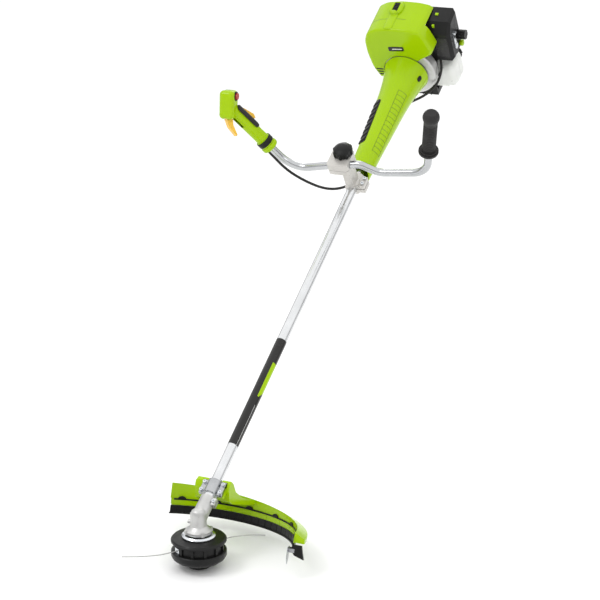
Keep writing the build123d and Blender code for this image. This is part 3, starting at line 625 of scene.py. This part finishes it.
SHROUD_RIB = (62, 26, 7)
SHROUD_RIB_X, SHROUD_RIB_S = -25, 1521
ABOVE_SHROUD = 240
CROWN_HEIGHT, CROWN_STEEP = 2.0, 6
PLATE_X, PLATE_SHAPE = -12, (44, 15, 3)
STRIPE_X, STRIPE_SHAPE = -9, (30, 3.4, 1.6)
PLATE_N, PLATE_SLANT = 88, 0.08
AHEAD_OF_SHROUD = 1400
SEAM_CENTRE, SEAM_REACH, SEAM_WIDTH = (-5, 1530, 66), 160, 1.1
SEAM_DEGREES, SEAM_SPAN = 78, 150


def tool_ray(x, s, n, toward):
    start = TOOL @ (Vector((x, s, n)) * MM)
    return start, (TOOL.to_3x3() @ Vector(toward)).normalized()


def ring_ray(centre, forward, degrees, reach):
    """A ray aimed at a centre from reach mm away, in the plane across the shaft."""
    turn = math.radians(degrees)
    away = Vector((math.cos(turn), 0, math.sin(turn)))
    start = Vector(centre) + Vector((0, forward, 0)) + away * reach
    return TOOL @ (start * MM), (TOOL.to_3x3() @ -away).normalized()


def shroud_rib(shroud):
    def outline(u, v):
        along, across = rounded(u, v, *SHROUD_RIB)
        return tool_ray(SHROUD_RIB_X + across, SHROUD_RIB_S + along, ABOVE_SHROUD, (0, 0, -1))

    def crown(u, v):
        return CROWN_HEIGHT * min(1.0, CROWN_STEEP * min(v, 1 - v))

    wrapped("shroud_rib", shroud, 30, 14, outline, 0.8, "green", crown)


def shroud_plate(shroud):
    def front_ray(middle, along, across):
        n = PLATE_N + across + along * PLATE_SLANT
        return tool_ray(middle + along, AHEAD_OF_SHROUD, n, (0, 1, 0))

    def plate_outline(u, v):
        return front_ray(PLATE_X, *rounded(u, v, *PLATE_SHAPE))

    def stripe_outline(u, v):
        return front_ray(STRIPE_X, *rounded(u, v, *STRIPE_SHAPE))

    wrapped("shroud_plate", shroud, 30, 8, plate_outline, 0.9, "black_gloss")
    wrapped("plate_stripe", shroud, 20, 4, stripe_outline, 1.15, "grey_print")


def shroud_seam(shroud):
    """The joint line that runs round the shroud, from its left side up over the top."""
    def outline(u, v):
        return ring_ray(SEAM_CENTRE, SEAM_WIDTH * v, SEAM_DEGREES + SEAM_SPAN * u, SEAM_REACH)

    wrapped("shroud_seam", shroud, 120, 1, outline, 0.22, "green_dark")


def shroud_details():
    shroud = surface_tree("engine_shroud")
    shroud_rib(shroud)
    shroud_plate(shroud)
    shroud_seam(shroud)


shroud_details()


# Tank, the insert in the shroud's hump, black fills of painted shade in its inlet slots, and the air
# filter box.

TANK_CENTRE, TANK_REACH, TANK_SEAM_WIDTH = (88, 1574, -49), 90, 2.2
TANK_SEAM_DEGREES, TANK_SEAM_SPAN = -100, 215
HUMP_SLATS, HUMP_SLAT_START, HUMP_SLAT_PITCH, HUMP_SLAT_LENGTH = 5, 1555, 6.2, 4.4
SHROUD_FRONT = 1487
SLOT_HALF_HEIGHT = 2.3
SLOT_RIGHT = -65
SLOTS = [(-77.5, -8), (-81, 1), (-84, 10)]


def tank_seam():
    """The welded moulding seam round the tank's fat end."""
    def outline(u, v):
        degrees = TANK_SEAM_DEGREES + TANK_SEAM_SPAN * u
        return ring_ray(TANK_CENTRE, TANK_SEAM_WIDTH * v, degrees, TANK_REACH)

    wrapped("tank_seam", surface_tree("fuel_tank"), 90, 2, outline, 0.9, "tank")


def hump_insert():
    """The louvred black insert in the shroud's top hump."""
    block("hump_base", (-31.8, -16.2), (1553.2, 1585.8), (156.5, 160), "black", 0.4)
    for slat in range(HUMP_SLATS):
        s = HUMP_SLAT_START + HUMP_SLAT_PITCH * slat
        block("hump_slat_%d" % slat, (-31, -17), (s, s + HUMP_SLAT_LENGTH), (159, 165.0), "black",
              0.8)


def fill_slots_with_painted_shade():
    """Black blocks of painted shade set in the inlets at the shroud's lower left corner, where the
    open slots show only shade; SLOTS gives each one's left end and height.
    """
    for number, (left, n) in enumerate(SLOTS):
        block("slot_painted_shade_%d" % number, (left, SLOT_RIGHT), (SHROUD_FRONT - 0.3, SHROUD_FRONT + 2.8),
              (n - SLOT_HALF_HEIGHT, n + SLOT_HALF_HEIGHT), "black", 0.2)


def filter_details():
    block("filter_panel", (82, 119), (1530.9, 1532.6), (30, 96), "black_gloss", 0.8)
    block("filter_tab_rear", (79, 88), (1575, 1583), (136, 140.6), "green")
    block("filter_tab_front", (78, 85), (1543, 1549), (121, 130), "green")
    profile = [(0.6, -0.3), (7.2, -0.3), (7.2, 1.2), (8.2, 2.0), (8.2, 8.4), (7.0, 9.6), (0.6, 9.6)]
    spot = TOOL @ placed((128, 1588, 34), (90, "Y"))
    lathe("filter_screw", profile, spot, "green", "frame", 96,
          lambda turn: 0.25 * math.cos(16 * turn))


tank_seam()
hump_insert()
# Black blocks in the open inlet slots: painted shade.
fill_slots_with_painted_shade()
filter_details()


# Throttle handle: two rings, the thumb pad and the switch's bezel.

PAD_R = 19.6
PAD_LENGTH, PAD_WIDTH, PAD_CORNER = 74, 17, 8
PAD_Z, PAD_TURN = 108, math.radians(24)
PAD_CURVE_R = 17.0
PAD_THICK = 2.8
CROWN_DROP = 2.1
RIB_PITCH, RIB_DEPTH = 5.2, 0.5


def handle_rings():
    ridge = [(20.0, 18), (21.0, 18.6), (21.6, 21), (21.6, 31), (21.0, 33.4), (20.0, 34)]
    lathe("handle_ring_black", ridge, HANDLE, "black", "handlebar_set")
    ring = [(20.0, 2.5), (21.4, 3), (22.0, 5), (22.0, 12), (21.4, 14), (20.0, 15)]
    lathe("handle_ring_green", ring, HANDLE, "green", "handlebar_set", 144,
          lambda turn: 0.35 * math.cos(24 * turn))


def thumb_pad():
    """A crowned, grooved pad laid round the handle."""
    vertices, faces = [], []
    rows, columns = 40, 14
    for i in range(rows + 1):
        for j in range(columns + 1):
            across_share = j / columns
            along, across = rounded(i / rows, across_share, PAD_LENGTH, PAD_WIDTH, PAD_CORNER)
            z = PAD_Z + along
            turn = PAD_TURN + across / PAD_CURVE_R
            reach = PAD_R - CROWN_DROP * abs(2 * across_share - 1) ** 4
            if (z / RIB_PITCH) % 1 < 0.3 and 0.15 < across_share < 0.85:
                reach -= RIB_DEPTH
            vertices.append((reach * math.cos(turn), reach * math.sin(turn), z))
    for i in range(rows):
        for j in range(columns):
            a = i * (columns + 1) + j
            b = a + columns + 1
            faces.append((a, b, b + 1, a + 1))
    pad = piece("handle_pad", vertices, faces, "rubber", "handlebar_set", HANDLE)
    solid = pad.modifiers.new("thickness", "SOLIDIFY")
    solid.thickness = PAD_THICK * MM
    solid.offset = -1


def switch_bezel():
    switch = BLOCK @ placed((0, 2, 22), (90, "Y"))
    bezel = [(8.9, 18.5), (8.9, 20.6), (9.6, 21.2), (11.6, 20.9), (12.2, 20.2), (12.2, 18.5)]
    lathe("switch_bezel", bezel, switch, "black", "handlebar_set", 48)


handle_rings()
thumb_pad()
switch_bezel()


# Guard: black seam and half-moon clips on the fascia.

SEAM_R = (211.7, 213.0)
SEAM_Z = (32.6, 36.0)
SEAM_FROM, SEAM_TO = 12.2, 136.5
CLIP_ANGLES = (15, 43, 64, 86, 108, 131)
CLIP_R = (210.6, 214.4)
CLIP_Z, CLIP_RISE, CLIP_HALF = 34.0, 8.0, 10.5


def guard_seam():
    steps = 160
    section = [(SEAM_R[0], SEAM_Z[0]), (SEAM_R[0], SEAM_Z[1]), (SEAM_R[1], SEAM_Z[1]),
               (SEAM_R[1], SEAM_Z[0])]
    vertices, faces = [], []
    for step in range(steps + 1):
        turn = math.radians(SEAM_FROM + (SEAM_TO - SEAM_FROM) * step / steps)
        for reach, z in section:
            vertices.append((reach * math.cos(turn), reach * math.sin(turn), z))
    for step in range(steps):
        for k in range(4):
            a, b = step * 4 + k, step * 4 + (k + 1) % 4
            faces.append((a, b, b + 4, a + 4))
    faces += [(3, 2, 1, 0), tuple(steps * 4 + k for k in range(4))]
    piece("guard_seam", vertices, faces, "black", "frame", GUARD)


def guard_clip(name, middle):
    """A half-moon standing on the seam, at an angle round the guard."""
    steps = 16
    count = steps + 1
    points = []
    for depth in CLIP_R:
        for k in range(count):
            turn = math.pi * k / steps
            angle = middle + CLIP_HALF * math.cos(turn) / depth
            points.append((depth * math.cos(angle), depth * math.sin(angle),
                           CLIP_Z + CLIP_RISE * math.sin(turn)))
    faces = [tuple(range(count)), tuple(reversed(range(count, 2 * count)))]
    for k in range(count):
        m = (k + 1) % count
        faces.append((m, k, k + count, m + count))
    bevelled(piece(name, points, faces, "black", "frame", GUARD), 0.6)


guard_seam()
for number, degrees in enumerate(CLIP_ANGLES):
    guard_clip("guard_clip_%d" % number, math.radians(degrees))


# Starter rope, from its guide to the handle.

ROPE_R = 1.6
ROPE_X = (-40, -50, -58, -72)


def starter_rope():
    points = [TOOL @ (Vector((x, 1617, 30)) * MM) for x in ROPE_X]
    made = tube_mesh("starter_rope", points, ROPE_R, "rubber")
    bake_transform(made)


starter_rope()


# Floor and light: white paper, a sky that is grey at the horizon, and three soft lights.

FLOOR_REACH = 300.0
SKY_LOW, SKY_HIGH = 0.30, 1.22
LIGHTS = [("key", (-1.5, -1.4, 3.2), (0, 0.8, 0.6), 1.1, 26),
          ("fill", (3.0, -0.8, 2.0), (0, 0.8, 0.6), 1.5, 12),
          ("rim", (-1.0, 3.4, 2.6), (0, 0.9, 0.7), 1.4, 14)]


def sky(scene):
    world = bpy.data.worlds.new("studio")
    scene.world = world
    world.use_nodes = True
    tree = world.node_tree
    toward = node(tree, "ShaderNodeTexCoord")
    parts = node(tree, "ShaderNodeSeparateXYZ")
    tree.links.new(toward.outputs["Generated"], parts.inputs["Vector"])
    tone = ranged(tree, parts.outputs["Z"], SKY_LOW, SKY_HIGH, 0.02, 0.5)
    tree.links.new(tone, tree.nodes["Background"].inputs["Color"])


def floor(scene):
    mesh = bpy.data.meshes.new("floor")
    corners = [(-FLOOR_REACH, -FLOOR_REACH, 0), (FLOOR_REACH, -FLOOR_REACH, 0),
               (FLOOR_REACH, FLOOR_REACH, 0), (-FLOOR_REACH, FLOOR_REACH, 0)]
    mesh.from_pydata(corners, [], [(0, 1, 2, 3)])
    made = bpy.data.objects.new("floor", mesh)
    scene.collection.objects.link(made)
    mesh.materials.append(surface("floor_paper", (0.93, 0.93, 0.93), (0.91, 0.91, 0.91), 0.85,
                                  grain=60, depth=0.00005, patch=2))


def lights(scene):
    for name, spot, aim, size, power in LIGHTS:
        light = bpy.data.objects.new(name, bpy.data.lights.new(name, "AREA"))
        light.data.size = size
        light.data.energy = power
        light.location = spot
        light.rotation_euler = (Vector(aim) - Vector(spot)).to_track_quat("-Z", "Y").to_euler()
        scene.collection.objects.link(light)


def studio():
    scene = bpy.context.scene
    scene.view_settings.view_transform = "Standard"
    sky(scene)
    floor(scene)
    lights(scene)


studio()
